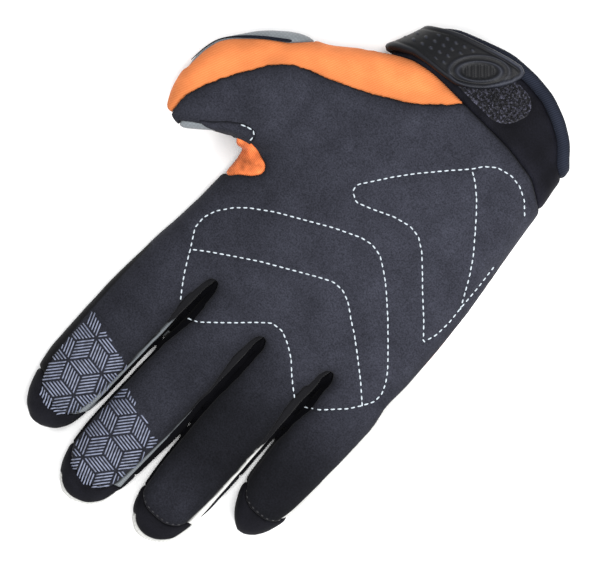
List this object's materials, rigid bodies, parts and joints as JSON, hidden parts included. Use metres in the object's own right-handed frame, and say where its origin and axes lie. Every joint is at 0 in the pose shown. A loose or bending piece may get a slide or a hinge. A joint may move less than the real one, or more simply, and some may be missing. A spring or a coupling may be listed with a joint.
{
  "type": "motocross glove",
  "caption": "Right-hand riding glove lying palm up: suede palm with stitched pads, stretch thumb side and back, grip-printed fingertips and a wrist strap.",
  "frame": {"origin": "on the flat of the back of the hand, which rests on the surface, under the middle of the palm", "axes": "+Y from the cuff to the fingertips, +Z out of the palm, +X to the thumb side"},
  "size_m": [0.1525, 0.2417, 0.0344],
  "materials": {
    "suede": "matt brushed micro-suede",
    "thumb_stretch": "matt ribbed stretch knit",
    "gusset_stretch": "matt ribbed stretch knit",
    "back_textile": "matt stretch textile",
    "black_stretch": "matt stretch knit",
    "grey_stretch": "matt stretch knit",
    "pale_stretch": "matt stretch knit",
    "cuff_fabric": "matt laminated stretch fabric",
    "binding_tape": "matt folded tape",
    "loop_pile": "fuzzy loop pile",
    "moulded_rubber": "satin moulded rubber",
    "grip_print": "satin silicone print",
    "thread": "twisted sewing thread"
  },
  "bodies": {
    "root": {"palm_panel": "suede", "back_panel": "back_textile", "thumb_side_panel": "thumb_stretch", "thumb_gusset": "gusset_stretch", "pinky_inner_strip": "black_stretch", "ring_outer_strip": "pale_stretch", "ring_inner_strip": "black_stretch", "middle_outer_strip": "grey_stretch", "middle_inner_strip": "black_stretch", "index_outer_strip": "grey_stretch", "pinky_tip_cap": "black_stretch", "ring_tip_cap": "black_stretch", "middle_tip_cap": "black_stretch", "index_tip_cap": "black_stretch", "thumb_patch": "suede", "thumb_piping": "binding_tape", "wrist_cuff": "cuff_fabric", "cuff_binding": "binding_tape", "loop_patch": "loop_pile", "wrist_strap": "moulded_rubber", "index_grip_print": "grip_print", "middle_grip_print": "grip_print"}
  },
  "joints": []
}
